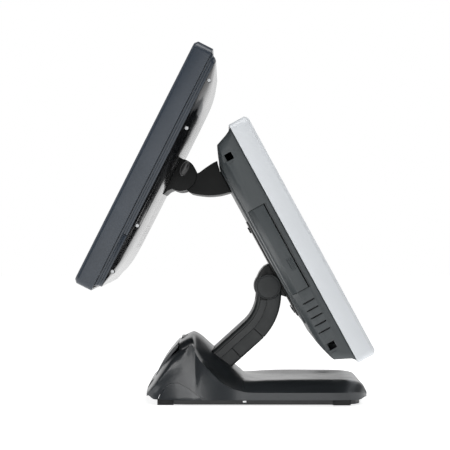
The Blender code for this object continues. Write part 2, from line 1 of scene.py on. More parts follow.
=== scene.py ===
"""The looks of the point-of-sale terminal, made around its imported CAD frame.

Each screen's pieces are built in that screen's own coordinates, in millimetres: x across, depth behind
the front face, and height above the lower front edge. The rest is in the frame's x, y and z.
"""

import json
import math

import bmesh
import bpy
from mathutils import Matrix, Vector


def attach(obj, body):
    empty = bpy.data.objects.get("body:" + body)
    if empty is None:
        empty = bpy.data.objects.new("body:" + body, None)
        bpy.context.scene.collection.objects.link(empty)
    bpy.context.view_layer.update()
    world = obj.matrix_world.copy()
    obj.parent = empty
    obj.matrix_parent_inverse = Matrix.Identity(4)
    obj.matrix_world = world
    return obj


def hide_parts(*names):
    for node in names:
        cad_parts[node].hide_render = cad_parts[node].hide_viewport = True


MM = 0.001
SHARP_ANGLE = math.radians(32)

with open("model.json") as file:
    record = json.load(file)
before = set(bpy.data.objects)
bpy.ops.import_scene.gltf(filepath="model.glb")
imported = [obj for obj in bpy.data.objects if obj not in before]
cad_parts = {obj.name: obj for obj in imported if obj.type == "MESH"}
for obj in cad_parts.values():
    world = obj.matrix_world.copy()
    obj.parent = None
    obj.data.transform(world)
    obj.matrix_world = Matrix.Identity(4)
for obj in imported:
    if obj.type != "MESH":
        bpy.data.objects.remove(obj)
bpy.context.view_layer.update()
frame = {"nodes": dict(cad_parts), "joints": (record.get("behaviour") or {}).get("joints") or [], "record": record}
joints = {joint["name"]: joint for joint in frame["joints"]}

HEAD_AXIS = Vector(joints["display_tilt"]["pos_m"])
CUSTOMER_AXIS = Vector(joints["customer_tilt"]["pos_m"])
TILT_Y, TILT_Z = HEAD_AXIS.y / MM, HEAD_AXIS.z / MM
CUSTOMER_Y, CUSTOMER_Z = CUSTOMER_AXIS.y / MM, CUSTOMER_AXIS.z / MM

# Each screen's lean, and where its tilt axis lies behind its front and above its lower edge, as in the CAD.
OPERATOR_LEAN, OPERATOR_DEPTH, OPERATOR_HEIGHT = 28.6, 67.3, 111.9
CUSTOMER_LEAN, CUSTOMER_DEPTH, CUSTOMER_HEIGHT = 26.8, 47.9, 152.5

OPERATOR = (
    Matrix.Translation(HEAD_AXIS)
    @ Matrix.Rotation(math.radians(-OPERATOR_LEAN), 4, "X")
    @ Matrix.Translation(Vector((0, -OPERATOR_DEPTH, -OPERATOR_HEIGHT)) * MM)
)
CUSTOMER = (
    Matrix.Translation(CUSTOMER_AXIS)
    @ Matrix.Rotation(math.pi, 4, "Z")
    @ Matrix.Rotation(math.radians(-CUSTOMER_LEAN), 4, "X")
    @ Matrix.Translation(Vector((0, -CUSTOMER_DEPTH, -CUSTOMER_HEIGHT)) * MM)
)
WORLD = Matrix.Identity(4)

HALF_WIDTH = 180.0
HOUSING_SIDE = 176.5
WINDOW = (153.5, 29.0, 259.5)  # half width, low, high
NECK_HALF = 42.0
VENT_HEIGHTS = (46.5, 55.3, 64.2, 73.1, 82.1)
NOTCH_HEIGHTS = ((24.6, 32.6), (255.2, 263.2))
BAY_LOW, BAY_HIGH = 95.5, 197.3
PAST_SURFACE = 5  # how far a cutter starts outside the surface it cuts
BUTTON_PLACE, BUTTON_HOLE_RADIUS = (130, 10), 4.8
SCREW_PLACES = ((33.7, 81.9), (33.7, 199.6), (32.1, 25.7), (32.1, 256.3))


# --- materials ------------------------------------------------------------------------------------------


class Look:
    """A Principled material under construction, with helpers for its noise and bump."""

    def __init__(self, name, roughness, metallic=0.0, coat=0.0, coat_roughness=0.1, specular=0.5):
        self.material = bpy.data.materials.new(name)
        self.material.use_nodes = True
        self.tree = self.material.node_tree
        self.shader = self.tree.nodes["Principled BSDF"]
        self.shader.inputs["Roughness"].default_value = roughness
        self.shader.inputs["Metallic"].default_value = metallic
        self.shader.inputs["Coat Weight"].default_value = coat
        self.shader.inputs["Coat Roughness"].default_value = coat_roughness
        self.shader.inputs["Specular IOR Level"].default_value = specular
        self.place = self.tree.nodes.new("ShaderNodeTexCoord").outputs["Object"]

    def noise(self, scale, detail=3.0):
        node = self.tree.nodes.new("ShaderNodeTexNoise")
        node.inputs["Scale"].default_value = scale
        node.inputs["Detail"].default_value = detail
        self.tree.links.new(self.place, node.inputs["Vector"])
        return node.outputs["Fac"]

    def ramp(self, value, stops):
        node = self.tree.nodes.new("ShaderNodeValToRGB")
        elements = node.color_ramp.elements
        while len(elements) < len(stops):
            elements.new(0.5)
        for element, (position, color) in zip(elements, stops):
            element.position = position
            element.color = (*color, 1.0)
        self.tree.links.new(value, node.inputs["Fac"])
        return node.outputs["Color"]

    def spread(self, value, low, high):
        """The value's middle range mapped to low..high."""
        node = self.tree.nodes.new("ShaderNodeMapRange")
        node.inputs["From Min"].default_value = 0.3
        node.inputs["From Max"].default_value = 0.7
        node.inputs["To Min"].default_value = low
        node.inputs["To Max"].default_value = high
        self.tree.links.new(value, node.inputs["Value"])
        return node.outputs["Result"]

    def color(self, output):
        self.tree.links.new(output, self.shader.inputs["Base Color"])

    def roughness(self, output):
        self.tree.links.new(output, self.shader.inputs["Roughness"])

    def bump(self, value, distance, strength=1.0):
        node = self.tree.nodes.new("ShaderNodeBump")
        node.inputs["Distance"].default_value = distance
        node.inputs["Strength"].default_value = strength
        self.tree.links.new(value, node.inputs["Height"])
        self.tree.links.new(node.outputs["Normal"], self.shader.inputs["Normal"])


def moulded(name, color, roughness, grain=0.00003, drift=0.06, grain_scale=2600.0, **settings):
    """Moulded plastic or paint: a fine grain, and a slow drift in tone and roughness over the surface."""
    look = Look(name, roughness, **settings)
    cloud = look.noise(14.0, 4.0)
    dark = tuple(c * (1 - drift) for c in color)
    light = tuple(min(c * (1 + drift), 1.0) for c in color)
    look.color(look.ramp(cloud, [(0.3, dark), (0.7, light)]))
    look.roughness(look.spread(look.noise(60.0, 5.0), roughness * 0.92, roughness * 1.10))
    look.bump(look.noise(grain_scale, 2.0), grain)
    return look.material


def brushed(name, color, roughness, stretch=(4.0, 400.0, 400.0)):
    """Plated or machined metal, with fine lines along x."""
    look = Look(name, roughness, metallic=1.0)
    mapping = look.tree.nodes.new("ShaderNodeMapping")
    mapping.inputs["Scale"].default_value = stretch
    look.tree.links.new(look.place, mapping.inputs["Vector"])
    look.place = mapping.outputs["Vector"]
    lines = look.noise(6.0, 4.0)
    look.color(look.ramp(lines, [(0.3, tuple(c * 0.85 for c in color)), (0.7, color)]))
    look.roughness(look.spread(lines, roughness * 0.8, roughness * 1.25))
    look.bump(lines, 0.00002)
    return look.material


LOOKS = {
    "silver_plastic": moulded("silver_paint", (0.55, 0.572, 0.595), 0.36, coat=0.1, drift=0.02),
    "housing_plastic": moulded("housing_grain", (0.032, 0.039, 0.042), 0.44, grain=0.00006, drift=0.05),
    "slate_plastic": moulded("slate_satin", (0.017, 0.025, 0.037), 0.32, drift=0.10, coat=0.1),
    "gloss_black": moulded(
        "gloss_black", (0.004, 0.004, 0.005), 0.22, grain=0.0, coat=0.3, coat_roughness=0.1
    ),
    "neck_plastic": moulded("neck_satin", (0.012, 0.015, 0.016), 0.44, drift=0.05),
    "neck_casting": moulded("neck_casting", (0.022, 0.025, 0.026), 0.45, drift=0.08),
    "hinge_casting": moulded("hinge_casting", (0.010, 0.011, 0.011), 0.42, drift=0.08),
    "arm_plastic": moulded("arm_satin", (0.0040, 0.0045, 0.0045), 0.46, drift=0.06, specular=0.18),
    "base_plastic": moulded("base_satin", (0.028, 0.032, 0.036), 0.31, drift=0.05, coat=0.2),
    "dark_plastic": moulded("dark_plastic", (0.014, 0.014, 0.015), 0.50, drift=0.10),
    "foot_rubber": moulded("foot_rubber", (0.016, 0.016, 0.017), 0.78, grain=0.0001, drift=0.15),
    "cast_iron": moulded("cast_iron", (0.09, 0.09, 0.095), 0.70, grain=0.0003, drift=0.2, grain_scale=700.0),
    "panel_stack": moulded("panel_stack", (0.38, 0.39, 0.40), 0.45, drift=0.08),
    "circuit_board": moulded("circuit_board", (0.01, 0.09, 0.04), 0.40, drift=0.25, grain_scale=400.0),
    "lamp_lens": moulded("lamp_lens", (0.85, 0.86, 0.87), 0.25, drift=0.02),
    "steel": brushed("plated_steel", (0.42, 0.43, 0.44), 0.36),
    "alloy": brushed("plain_alloy", (0.66, 0.67, 0.68), 0.38),
}


def glass_look():
    """Touch glass over an unlit panel: near-black, with a faint cast where the picture would be."""
    look = Look("touch_glass", 0.06, coat=1.0, coat_roughness=0.02)
    look.color(look.ramp(look.noise(6.0, 2.0), [(0.3, (0.006, 0.006, 0.008)), (0.7, (0.010, 0.010, 0.013))]))
    look.roughness(look.spread(look.noise(24.0, 5.0), 0.05, 0.09))
    return look.material


LOOKS["screen_glass"] = glass_look()


# --- mesh helpers ---------------------------------------------------------------------------------------


def arc(centre, radius, start, end, steps):
    angles = [math.radians(start + (end - start) * i / steps) for i in range(steps + 1)]
    return [(centre[0] + radius * math.cos(a), centre[1] + radius * math.sin(a)) for a in angles]


def circle(centre, radius, sides=64):
    return arc(centre, radius, 0, 360 * (sides - 1) / sides, sides - 1)


def rounded_rectangle(half_width, low, high, radius, steps):
    corners = []
    for turn, (x, z) in enumerate(((1, 1), (-1, 1), (-1, -1), (1, -1))):
        centre = (x * (half_width - radius), high - radius if z > 0 else low + radius)
        corners += arc(centre, radius, 90 * turn, 90 * turn + 90, steps)
    return corners


def smooth_line(points, steps=6):
    """A Catmull-Rom curve through the points, in as many dimensions as they have."""
    count = len(points)
    made = []
    for i in range(count - 1):
        around = [Vector(points[min(max(i + k, 0), count - 1)]) for k in (-1, 0, 1, 2)]
        for step in range(steps):
            t = step / steps
            a, b, c, d = around
            point = 2 * b + (c - a) * t + (2 * a - 5 * b + 4 * c - d) * t**2
            made.append(tuple((point + (3 * b - a - 3 * c + d) * t**3) / 2))
    return made + [tuple(points[-1])]


def loft(loops, tube=False):
    """A mesh through loops of equally many points; tube joins the last loop to the first."""
    mesh = bmesh.new()
    rings = [[mesh.verts.new(Vector(point) * MM) for point in loop] for loop in loops]
    pairs = list(zip(rings, rings[1:])) + ([(rings[-1], rings[0])] if tube else [])
    for near, far in pairs:
        for i, corner in enumerate(near):
            j = (i + 1) % len(near)
            mesh.faces.new((corner, near[j], far[j], far[i]))
    if not tube:
        mesh.faces.new(rings[0][::-1])
        mesh.faces.new(rings[-1])
    bmesh.ops.recalc_face_normals(mesh, faces=mesh.faces)
    return mesh


def prism_x(outline, low, high):
    return loft([[(x, y, z) for y, z in outline] for x in (low, high)])


def prism_y(outline, low, high):
    return loft([[(x, y, z) for x, z in outline] for y in (low, high)])


def prism_z(outline, low, high):
    return loft([[(x, y, z) for x, y in outline] for z in (low, high)])


def box(x, y, z):
    return prism_x([(y[0], z[0]), (y[1], z[0]), (y[1], z[1]), (y[0], z[1])], *x)


def stack(levels, steps=10, **how):
    """A loft through rounded rectangles: each level is (depth, half width, low, high, radius)."""
    loops = [[(x, level[0], z) for x, z in rounded_rectangle(*level[1:], steps)] for level in levels]
    return loft(loops, **how)


def thing(name, mesh, place):
    data = bpy.data.meshes.new(name)
    mesh.to_mesh(data)
    mesh.free()
    made = bpy.data.objects.new(name, data)
    bpy.context.scene.collection.objects.link(made)
    made.matrix_world = place
    return made


def settle(made):
    """Applies the piece's modifiers to its mesh."""
    bpy.context.view_layer.update()
    graph = bpy.context.evaluated_depsgraph_get()
    data = bpy.data.meshes.new_from_object(made.evaluated_get(graph))
    made.modifiers.clear()
    made.data = data


def combine(target, meshes, operation="DIFFERENCE", solver="EXACT"):
    """Cuts the meshes from the target, or joins them to it, and leaves no helper behind."""
    helpers = []
    for mesh in meshes:
        helper = thing("helper", mesh, target.matrix_world)
        helpers.append(helper)
        modifier = target.modifiers.new("boolean", "BOOLEAN")
        modifier.operation = operation
        modifier.solver = solver
        modifier.object = helper
    settle(target)
    for helper in helpers:
        bpy.data.objects.remove(helper, do_unlink=True)


def piece(made, body, slot, stands_for=(), bevel=0.4, segments=2):
    """Gives a finished mesh its soft edges, its material and its body, and hides the CAD nodes it stands for."""
    if bevel:
        modifier = made.modifiers.new("soft_edges", "BEVEL")
        modifier.width = bevel * MM
        modifier.segments = segments
        modifier.limit_method = "ANGLE"
        modifier.angle_limit = SHARP_ANGLE
        modifier.use_clamp_overlap = True
        modifier.harden_normals = False
        settle(made)
    made.data.transform(made.matrix_world)
    made.matrix_world = Matrix.Identity(4)
    made.data.materials.clear()
    made.data.materials.append(LOOKS[slot])
    made.data.shade_smooth()
    made.data.set_sharp_from_angle(angle=SHARP_ANGLE)
    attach(made, body)
    if stands_for:
        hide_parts(*stands_for)
    return made


# --- displays -------------------------------------------------------------------------------------------


def screen_bezel(name, node, body, slot, place, low, high, depth, cuts=()):
    """A ring of bezel: window, flat front, bevelled front edge, side wall and open rear."""
    window_half, window_low, window_high = WINDOW
    edge, wall, corner = 3.2, 3.2, 8.0
    levels = [(9.0, window_half + 2, window_low - 2, window_high + 2, 3)]
    levels += [(3.0, window_half + 2, window_low - 2, window_high + 2, 3)]
    levels += [(2.6, window_half, window_low, window_high, 2), (0.5, window_half, window_low, window_high, 2)]
    levels += [(0.0, window_half + 0.5, window_low - 0.5, window_high + 0.5, 2.5)]
    for depth_here, inset in ((0.0, edge + 0.4), (0.15, edge - 0.02), (edge - 0.2, 0.25), (edge + 0.4, 0.0)):
        levels.append((depth_here, HALF_WIDTH - inset, low + inset, high - inset, corner - inset * 0.6))
    levels += [(depth - 0.5, HALF_WIDTH, low, high, corner)]
    levels += [(depth, HALF_WIDTH - 0.5, low + 0.5, high - 0.5, corner - 0.5)]
    levels += [(depth, HALF_WIDTH - wall, low + wall, high - wall, corner - wall)]
    levels += [(9.0, HALF_WIDTH - wall, low + wall, high - wall, corner - wall)]
    made = thing(name, stack(levels, 10, tube=True), place)
    if cuts:
        combine(made, cuts)
    return piece(made, body, slot, [node], bevel=0)


def picture_area(name, body, place):
    """A thin unlit sheet just in front of the glass, where the picture would be."""
    sheet = [(depth, 152, 30.2, 258.3, 1) for depth in (3.24, 3.29)]
    piece(thing(name, stack(sheet, 3), place), body, "screen_glass", bevel=0)


def make_operator_display():
    hole = prism_z(circle(BUTTON_PLACE, BUTTON_HOLE_RADIUS), -7, 2.5)
    screen_bezel(
        "bezel_silver", "operator_bezel", "head", "silver_plastic", OPERATOR, -1.6, 289.5, 22.2, [hole]
    )

    side, rear = HOUSING_SIDE, 52.4
    levels = [
        (22.5, side - 0.6, 2.6, 285.4, 6),
        (23.1, side, 2.3, 285.8, 7),
        (25.7, side, 5.3, 283.6, 8),
        (30.0, side, 7.4, 281.5, 9),
        (40.0, side, 12.0, 277.8, 11),
        (42.6, side, 13.0, 276.9, 12),
        (43.3, side - 0.4, 13.4, 276.6, 12),
        (45.0, 173.5, 17.0, 273.0, 13),
        (46.5, 171, 22, 268, 14),
        (48.2, 167, 27.5, 264.5, 16),
        (50.0, 162, 35, 260.5, 18),
        (50.4, 160, 37, 259.4, 18),
    ]
    housing = thing("housing_shell", stack(levels), OPERATOR)
    raised = stack([(48, 140, 60, 254, 20), (51.8, 140, 60, 254, 20), (rear, 139.2, 60.8, 253.2, 19.4)])
    combine(housing, [raised], "UNION")
    hollows = [stack([(22, side - 3, 6, 281, 5), (27, side - 3, 9.5, 280, 6), (42, side - 3, 17, 273, 9)])]
    hollows.append(box((-70, 70), (29, 40), (0, 22)))
    for x in (-side, side):
        inward = -math.copysign(1.0, x)
        outside = x - inward * PAST_SURFACE
        for height in VENT_HEIGHTS:
            reach = sorted((outside, x + inward * 3.4))
            hollows.append(box(reach, (30.5, 44.5), (height - 0.8, height + 0.8)))
        for low, high in NOTCH_HEIGHTS:
            shallow = (low - 3.5, high + 3.5)
            hollows.append(box(sorted((outside, x + inward * 4.0)), (34.0, 50.0), (low, high)))
            hollows.append(box(sorted((outside, x + inward * 1.2)), (36.5, 55.0), shallow))
    outside = -side - PAST_SURFACE
    hollows.append(box((outside, -side + 2.6), (27.4, 29.3), (BAY_LOW, BAY_HIGH)))
    bay = [(outside, 29.1), (-163.7, 29.1), (-163.7, 60), (outside, 60)]
    hollows.append(prism_z(bay, BAY_LOW, BAY_HIGH))
    for hollow in hollows:
        combine(housing, [hollow])
    piece(housing, "head", "housing_plastic", ["rear_housing"], bevel=0.35)

    # Painted shade: a dark corrugated sheet behind each side's vents stands in for the shade inside the housing
    # there.
    for name, x in (("left", -1), ("right", 1)):
        folds = [((side - 3.6 - 0.35 * (i % 2)) * x, 28.6 + 0.75 * i) for i in range(18)]
        backs = [((side - 4.6 - 0.35 * (i % 2)) * x, 28.6 + 0.75 * i) for i in reversed(range(18))]
        # This dark sheet is painted shade for the vent openings, not a part of the terminal.
        screen = thing(f"vent_shade_sheet_{name}", prism_z(folds + backs, 40, 89), OPERATOR)
        piece(screen, "head", "dark_plastic", bevel=0)

    front, low, high = 30.3, 95.9, 196.9
    edge = side - 0.4
    outline = [(-edge, front), (-edge, 42.8), (-edge + 0.7, 43.5), (-164.2, 48.6)]
    outline += [(-164.2, 45.6), (-172.3, 41.6), (-172.3, front)]
    door = thing("drive_door_ribbed", prism_z(outline, low, high), OPERATOR)
    ribs = [box((-edge - 0.6, -edge + 1), (y - 0.5, y + 0.5), (119, 133)) for y in (31.6, 33.5, 35.4, 37.3)]
    for rib in ribs:
        combine(door, [rib], "UNION")
    piece(door, "drive_tray", "housing_plastic", ["drive_door"], bevel=0.3)

    picture_area("picture_area_operator", "head", OPERATOR)


def make_customer_display():
    screen_bezel(
        "bezel_slate", "customer_bezel", "customer_display", "slate_plastic", CUSTOMER, -2.6, 288.2, 21.4
    )

    # The rear rim sits in a step behind the bezel, and the glossy cover swells out of it.
    outer = [(21.7, 176.5, 3.2, 284.3, 6), (24.0, 176.5, 4.3, 283, 6), (24.4, 174.9, 5.2, 282, 7)]
    outer += [(26.6, 174.9, 5.6, 281, 7), (26.9, 175.4, 5.4, 281, 8), (29.1, 174.5, 6, 279, 8)]
    inner = [(29.1, 170, 11, 274, 5), (21.7, 170, 11, 274, 5)]
    rim = thing("rim_slate", stack(outer + inner, 10, tube=True), CUSTOMER)
    seams = [box((x - 8, x + 8), (24, 40), (67.1, 67.7)) for x in (-178, 178)]
    combine(rim, seams)
    piece(rim, "customer_display", "slate_plastic", ["customer_mid_frame"], bevel=0.25)

    levels = [
        (29.4, 173.5, 6.2, 278.7, 8),
        (32.1, 169, 17, 270.7, 12),
        (35.8, 158, 27.8, 259, 18),
        (38.6, 138, 42.8, 245, 24),
        (40.0, 104, 69.5, 228, 30),
    ]
    levels = smooth_line(levels, 4)
    cover = thing("back_cover_gloss", stack(levels, 12), CUSTOMER)
    hollow = [(25, 169, 11, 274, 5), (31, 165, 21, 267, 9), (35, 146, 38, 248, 16), (37, 98, 74, 223, 24)]
    cutters = [stack(hollow)]
    for x in (-170, 170):
        inward = -math.copysign(1.0, x)
        reach = sorted((x - inward * 15, x + inward * 20))
        for screw in SCREW_PLACES:
            cutters.append(prism_x(circle(screw, 2.3, 32), *reach))
    combine(cover, cutters)
    dots = []
    for row in range(10):
        for column in (-3, -2, -1, 1, 2, 3):
            dots.append(prism_y(circle((column * 16.0, 84 - 2.9 * row), 0.8, 12), 36, 45))
    combine(cover, dots)
    piece(cover, "customer_display", "gloss_black", ["customer_back_cover"], bevel=0.2)

    picture_area("picture_area_customer", "customer_display", CUSTOMER)


make_operator_display()
make_customer_display()


# --- neck and head hinge --------------------------------------------------------------------------------

# The neck's middle line: a short upright run below the tilt axis, a bend, and a straight slope.
NECK_Y, NECK_TOP_RUN, NECK_BEND, NECK_SLOPE = -49.8, 8.0, 58.0, math.radians(42.0)
NECK_SEAMS = (1.0, 52.0, 85.5, 112.0)
KNUCKLE_ROOM = 30.0
EAR_ROOM = 12.4


def neck_point(length, offset):
    """A (y, z) point of the neck: length down from the tilt axis, offset to the rear of its middle line."""
    bend_length = NECK_BEND * (math.pi / 2 - NECK_SLOPE)
    turn = min(max(length - NECK_TOP_RUN, 0.0), bend_length) / NECK_BEND
    beyond = max(length - NECK_TOP_RUN - bend_length, 0.0)
    y = NECK_Y + NECK_BEND * (1 - math.cos(turn)) + beyond * math.sin(turn)
    z = TILT_Z - min(length, NECK_TOP_RUN) - NECK_BEND * math.sin(turn) - beyond * math.cos(turn)
    return (y + offset * math.cos(turn), z + offset * math.sin(turn))


def neck_shell(section, start, end, steps):
    """The (x, offset) section carried down the neck between two lengths."""
    loops = []
    for i in range(steps + 1):
        length = start + (end - start) * i / steps
        loops.append([(x, *neck_point(length, offset)) for x, offset in section])
    return loft(loops)


def make_neck():
    half = NECK_HALF
    round_rear = [(-half, 9.5), (-half, 10.0)] + arc((-half + 4, 10.0), 4.0, 180, 90, 8)
    round_rear += arc((half - 4, 10.0), 4.0, 90, 0, 8) + [(half, 9.5)]
    rear = thing("neck_rear_shell", neck_shell(round_rear, 1, 119, 60), WORLD)
    knuckle = box((-KNUCKLE_ROOM, KNUCKLE_ROOM), (-90, 0), (TILT_Z - 16, TILT_Z + 20))
    combine(rear, [prism_x(circle((TILT_Y, TILT_Z), EAR_ROOM), -60, 60), knuckle])
    piece(rear, "base", "neck_plastic", ["neck_rear_cover"], bevel=0.25)

    outer = [(-half, 1.5)] + arc((-half + 2.2, -11.8), 2.2, 180, 270, 5)
    outer += arc((half - 2.2, -11.8), 2.2, 270, 360, 5) + [(half, 1.5)]
    inner = [(half - 3.7, 1.5), (half - 3.7, -11.5), (-half + 3.7, -11.5), (-half + 3.7, 1.5)]
    names = ("upper", "middle", "lower")
    for name, start, end in zip(names, NECK_SEAMS, NECK_SEAMS[1:]):
        shell = neck_shell(outer + inner, start + 0.2, end - 0.2, 24)
        cover = thing(f"neck_front_shell_{name}", shell, WORLD)
        if name == "upper":
            knuckle = box((-KNUCKLE_ROOM, KNUCKLE_ROOM), (-90, 0), (TILT_Z - 20.5, TILT_Z + 20))
            combine(cover, [prism_x(circle((TILT_Y, TILT_Z), EAR_ROOM), -60, 60), knuckle])
        piece(cover, "base", "neck_plastic", [f"neck_front_cover_{name}"], bevel=0.3)

    # Each hinge cap is a shallow disc with a groove just inside its rim.
    profile = [(0.0, 14.0), (0.4, 14.3), (3.4, 14.3), (4.0, 13.7), (4.0, 13.0), (3.5, 12.8), (3.5, 12.4)]
    profile += [(3.9, 12.2), (4.0, 11.6), (4.0, 4.0)]
    for name, side in (("left", -1), ("right", 1)):
        loops = [
            [((42.3 + x) * side, y, z) for y, z in circle((TILT_Y, TILT_Z), radius, 72)]
            for x, radius in profile
        ]
        cap = thing(f"hinge_cap_disc_{name}", loft(loops), WORLD)
        piece(cap, "base", "neck_plastic", [f"hinge_cap_{name}"], bevel=0)


def make_knuckle():
    """The head's half of the tilt hinge: a barrel on a foot that spreads onto the mount plate."""
    axis = Matrix.Translation(HEAD_AXIS) @ Matrix.Rotation(math.radians(-OPERATOR_LEAN), 4, "X")
    foot = [(-12.8, -21), (-12.8, 22), (-7, 22), (-3, 20.6), (1, 18.6)]
    outline = foot + arc((0, 0), 16, 66, -115, 40)
    barrel = thing("knuckle_barrel", prism_x(outline, -27.5, 27.5), axis)
    combine(barrel, [prism_x(circle((0, 0), 5.3, 40), -60, 60)])
    piece(barrel, "head", "hinge_casting", ["head_hinge_bracket"], bevel=0.8, segments=3)


make_neck()
make_knuckle()


# --- customer arm and bracket ---------------------------------------------------------------------------


def make_arm():
    axis = (CUSTOMER_Y, CUSTOMER_Z)
    top = smooth_line([(31.6, 257.0), (27.9, 258.7), (22.7, 262.7), (14.0, 268.5), (8.6, 271.2)], 5)
    bottom = smooth_line([(-6.9, 236.6), (5.6, 233.5), (18.3, 232.5), (30, 233.6), (38.3, 235.3)], 6)
    outline = top + [(8.1, 268.2), (5.4, 259.2)] + bottom + arc(axis, 18.4, 247, 180, 20)
    arm = thing("arm_shell", prism_x(outline, -80, 80), WORLD)
    slot = [(52, 257.5), (36, 256.9), (-10, 250.8), (-10, 243), (36, 247), (52, 240)]
    combine(arm, [prism_x(slot, -14.4, 14.4)])
    piece(arm, "head", "arm_plastic", ["customer_arm_cover"], bevel=1.2, segments=4)


# The cap's rise above the barrel's end, and its size there beside its full size.
CAP_PROFILE = (
    (0.0, 1.0), (1.5, 1.0), (2.0, 0.93), (2.0, 0.84), (1.3, 0.78), (1.7, 0.45), (1.9, 0.05),
)


def make_bracket():
    """The customer screen's half of the second hinge: a barrel that runs out to a pointed skirt."""
    place = (
        Matrix.Translation(CUSTOMER_AXIS)
        @ Matrix.Rotation(math.pi, 4, "Z")
        @ Matrix.Rotation(math.radians(-CUSTOMER_LEAN), 4, "X")
    )
    skirt = smooth_line([(-7.6, -28), (-6.4, -26.5), (-4.6, -22), (-1.2, -18.0)], 5)
    outline = [(-7.6, 17.4)] + skirt + arc((0, 0), 18.0, -88, 108, 48)
    bracket = thing("bracket_shell", prism_x(outline, -80, 80), place)
    room = [(0, -25), (25, -25), (25, 25), (0, 25)] + arc((0, 0), 8.3, 90, 270, 24)
    combine(bracket, [prism_x(room, -14.4, 14.4)])
    combine(bracket, [prism_x(circle((0, 0), 3.3, 32), -60, 60)], solver="MANIFOLD")
    piece(bracket, "customer_display", "arm_plastic", ["customer_bracket"], bevel=1.0, segments=3)

    # A glossy oval cap with a raised rim, on each end of the barrel.
    lean = math.radians(3)
    for name, side in (("left", 1), ("right", -1)):
        loops = []
        for x, scale in CAP_PROFILE:
            ring = []
            for a in range(0, 360, 6):
                across = 4.6 * scale * math.cos(math.radians(a))
                along = 9.2 * scale * math.sin(math.radians(a))
                y = 1.0 + across * math.cos(lean) - along * math.sin(lean)
                z = 8.6 + across * math.sin(lean) + along * math.cos(lean)
                ring.append(((80.3 + x) * side, y, z))
            loops.append(ring)
        cap = thing(f"hinge_eye_{name}", loft(loops), place)
        piece(cap, "customer_display", "gloss_black", [f"customer_hinge_cap_{name}"], bevel=0)


make_arm()
make_bracket()


# --- base -----------------------------------------------------------------------------------------------

# Each station, rear to front: y, centre height, spine height, shoulder height, then the side edge's x and
# height, and the half width at the bottom. The CAD lofts straight between them, and this curves.
BASE_FLOOR = 6.3
SPINE_X, DISH_CREST_X = 50.0, 88.0
BASE_STATIONS = (
    (87.0, 17, 16.5, 16, 92, 13, 90),
    (82.5, 25, 24, 22, 97, 18, 96),
    (77.0, 33, 32, 30, 97, 24, 100),
    (70.0, 46, 45, 41, 92, 33, 104),
    (62.0, 57, 55, 50, 86, 43, 106),
    (53.6, 66.7, 64, 58, 80, 51, 108),
    (45.0, 73, 69.5, 63, 75, 59, 109),
    (37.0, 77, 72, 66.5, 70, 65, 110),
    (33.0, 76.5, 65, 60, 76, 56, 110),
    (27.0, 73, 61, 52, 85, 47.5, 110.5),
    (16.6, 64, 54, 41, 95, 37, 111),
    (5.5, 54, 46.5, 32, 103, 26.5, 111.5),
    (-5.5, 44, 39, 26, 108, 19.8, 112),
    (-16.5, 35, 31.5, 24.5, 110.5, 16.4, 112),
    (-28.0, 27, 26, 25, 112, 14.8, 112),
    (-60.0, 24, 24.5, 27, 112, 14.5, 112),
    (-110.0, 24, 24.5, 27, 112, 14.5, 112),
    (-132.0, 25, 25.5, 26.5, 110, 14.5, 110),
    (-146.0, 25, 25, 25, 105, 14.5, 104),
    (-153.0, 22.5, 22.5, 22, 98, 13.5, 97),
    (-157.5, 15.5, 15.5, 14.5, 88, 11, 88),
)
SIDE_ARCH = (
    (73, 6.3), (72.9, 9.4), (68.5, 16), (63, 21.6), (55.3, 24.4),
    (49.7, 23.3), (38.7, 17.2), (27.6, 9.4), (24, 6.3),
)
CREST_FADES = (34.0, 52.0)  # the side's sharp crest melts into a round corner between these y


def ease(value, start, end):
    t = min(max((value - start) / (end - start), 0.0), 1.0)
    return t * t * (3 - 2 * t)


def base_half(station, inset=0.0):
    y, centre, spine, shoulder, edge_x, edge_z, bottom_x = station
    middle_x = min((SPINE_X + edge_x) / 2 if y > -20 else DISH_CREST_X, edge_x)
    rise = 4.5 * ease(y, 78, 87) + 3.0 * ease(-y, 149, 157.5)  # the lower edge lifts at both ends
    floor = BASE_FLOOR + rise if inset == 0 else BASE_FLOOR - 5
    wall = [
        (bottom_x - inset, floor),
        ((bottom_x + edge_x) / 2 - inset, (BASE_FLOOR + edge_z) / 2),
        (edge_x - inset, edge_z - inset),
    ]
    top = [
        wall[-1],
        (middle_x - inset, shoulder - inset),
        (SPINE_X - inset, spine - inset),
        (SPINE_X / 2, (spine + 3 * centre) / 4 - inset),
        (0.0, centre - inset),
    ]
    creased = smooth_line(wall, 6)[:-1] + smooth_line(top, 6)
    rounded = smooth_line(wall + top[1:], 6)
    melt = ease(y, *CREST_FADES)
    return [
        tuple(a + (b - a) * melt for a, b in zip(sharp, soft)) for sharp, soft in zip(creased, rounded)
    ]


def base_section(station, inset=0.0):
    half = base_half(station, inset)
    points = half + [(-x, z) for x, z in reversed(half[:-1])]
    return [(x, station[0], z) for x, z in points]


def base_shell():
    return loft([base_section(station) for station in smooth_line(BASE_STATIONS, 6)])


